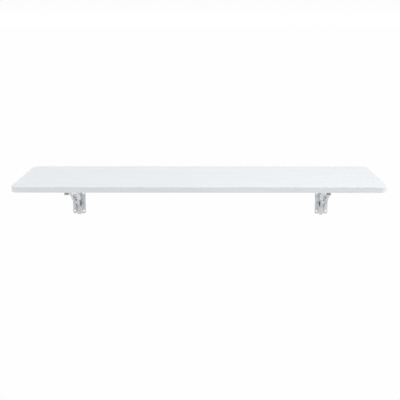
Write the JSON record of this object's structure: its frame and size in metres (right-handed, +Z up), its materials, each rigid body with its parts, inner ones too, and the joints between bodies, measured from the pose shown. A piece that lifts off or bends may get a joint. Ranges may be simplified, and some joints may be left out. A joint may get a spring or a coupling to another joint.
{
  "type": "wall mounted drop leaf table",
  "caption": "Wall mounted drop leaf table: a white rounded board on folding steel brackets whose braces straighten to hold it level and fold so that it hangs flat.",
  "frame": {"origin": "on the wall plane, midway between the two brackets, at the height of the middle row of wall holes", "axes": "+X along the wall, +Y into the wall, +Z up; the leaf reaches towards -Y"},
  "size_m": [1.2, 0.403, 0.179],
  "materials": {
    "board_core": "raw particle board",
    "white_laminate": "satin white laminate with a fine wood grain",
    "edge_band": "satin white edge band",
    "bracket_steel": "satin plated sheet",
    "lever_steel": "satin plated sheet",
    "pin_steel": "plated",
    "spring_steel": "drawn wire",
    "screw_zinc": "zinc plated",
    "washer_nylon": "natural nylon",
    "dark_nylon": "dark moulded nylon"
  },
  "bodies": {
    "wall_arms": {"left_wall_plate": "bracket_steel", "left_wall_cheeks": "bracket_steel", "left_hinge_pin": "pin_steel", "left_hinge_washers": "washer_nylon", "left_foot_rivet": "pin_steel", "left_foot_bushes": "dark_nylon", "right_wall_plate": "bracket_steel", "right_wall_cheeks": "bracket_steel", "right_hinge_pin": "pin_steel", "right_hinge_washers": "washer_nylon", "right_foot_rivet": "pin_steel", "right_foot_bushes": "dark_nylon"},
    "leaf": {"leaf_core": "board_core", "leaf_top_laminate": "white_laminate", "leaf_bottom_laminate": "white_laminate", "leaf_edge_band": "edge_band", "left_top_arm": "bracket_steel", "left_lever_pin": "pin_steel", "left_lever_spacer": "washer_nylon", "left_lever_spring": "spring_steel", "left_board_screws": "screw_zinc", "right_top_arm": "bracket_steel", "right_lever_pin": "pin_steel", "right_lever_spacer": "washer_nylon", "right_lever_spring": "spring_steel", "right_board_screws": "screw_zinc"},
    "left_link": {"left_lower_link": "bracket_steel", "left_knee_pin": "pin_steel", "left_knee_bushes": "pin_steel"},
    "left_brace": {"left_strut": "bracket_steel", "left_strut_rivet": "pin_steel", "left_strut_bushes": "pin_steel", "left_lock_cam": "pin_steel", "left_knee_rivets": "pin_steel"},
    "left_lever": {"left_release_lever": "lever_steel"},
    "right_link": {"right_lower_link": "bracket_steel", "right_knee_pin": "pin_steel", "right_knee_bushes": "pin_steel"},
    "right_brace": {"right_strut": "bracket_steel", "right_strut_rivet": "pin_steel", "right_strut_bushes": "pin_steel", "right_lock_cam": "pin_steel", "right_knee_rivets": "pin_steel"},
    "right_lever": {"right_release_lever": "lever_steel"}
  },
  "joints": [
    {"name": "leaf_fold", "type": "hinge", "parent": "wall_arms", "child": "leaf", "pos_m": [0, -0.022, 0.06], "axis": [1, 0, 0], "range_deg": [0, 90]},
    {"name": "left_link_turn", "type": "hinge", "parent": "wall_arms", "child": "left_link", "pos_m": [-0.441, -0.009, -0.04], "axis": [1, 0, 0], "range_deg": [-54.5, 0]},
    {"name": "left_strut_turn", "type": "hinge", "parent": "leaf", "child": "left_brace", "pos_m": [-0.441, -0.196, 0.069], "axis": [1, 0, 0], "range_deg": [0, 24.5]},
    {"name": "left_lever_press", "type": "hinge", "parent": "leaf", "child": "left_lever", "pos_m": [-0.441, -0.214, 0.07], "axis": [1, 0, 0], "range_deg": [-15, 0], "stiffness_Nm_per_rad": 0.3},
    {"name": "right_link_turn", "type": "hinge", "parent": "wall_arms", "child": "right_link", "pos_m": [0.441, -0.009, -0.04], "axis": [1, 0, 0], "range_deg": [-54.5, 0]},
    {"name": "right_strut_turn", "type": "hinge", "parent": "leaf", "child": "right_brace", "pos_m": [0.441, -0.196, 0.069], "axis": [1, 0, 0], "range_deg": [0, 24.5]},
    {"name": "right_lever_press", "type": "hinge", "parent": "leaf", "child": "right_lever", "pos_m": [0.441, -0.214, 0.07], "axis": [1, 0, 0], "range_deg": [-15, 0], "stiffness_Nm_per_rad": 0.3}
  ],
  "couplings": [
    {"joint": "left_link_turn", "follows": "leaf_fold", "ratio": -0.60201},
    {"joint": "left_strut_turn", "follows": "leaf_fold", "ratio": 0.26979},
    {"joint": "right_link_turn", "follows": "leaf_fold", "ratio": -0.60201},
    {"joint": "right_strut_turn", "follows": "leaf_fold", "ratio": 0.26979}
  ]
}
